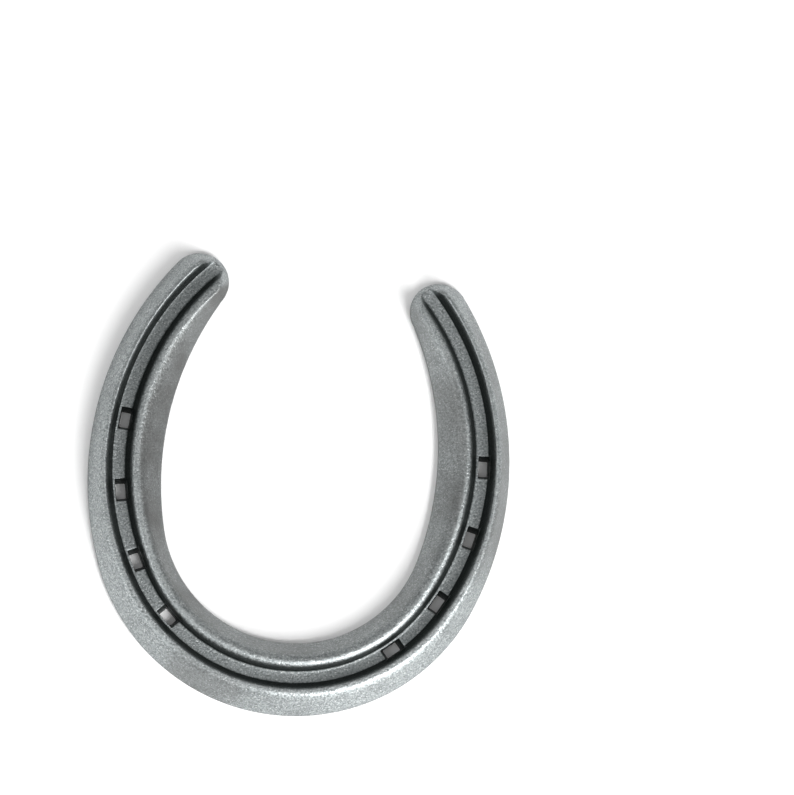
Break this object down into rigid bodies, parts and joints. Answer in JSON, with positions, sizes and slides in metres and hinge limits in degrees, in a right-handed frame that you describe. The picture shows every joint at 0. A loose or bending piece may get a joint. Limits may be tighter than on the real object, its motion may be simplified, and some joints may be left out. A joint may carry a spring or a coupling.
{
  "type": "horseshoe",
  "caption": "Plain open-heeled steel horseshoe with a nail groove along its ground face, tapered rectangular nail holes, a sloped inner edge and rounded heels.",
  "frame": {"origin": "middle of the shoe's length and width, on the plane of the hoof face", "axes": "+Z out of the ground face, -Y towards the toe, +Y towards the heels, +X towards the branch on the inside of the horse's leg"},
  "size_m": [0.1298, 0.1396, 0.01],
  "materials": {
    "steel": "satin, shot-blasted forging"
  },
  "bodies": {
    "root": {"shoe_body": "steel"}
  },
  "joints": []
}
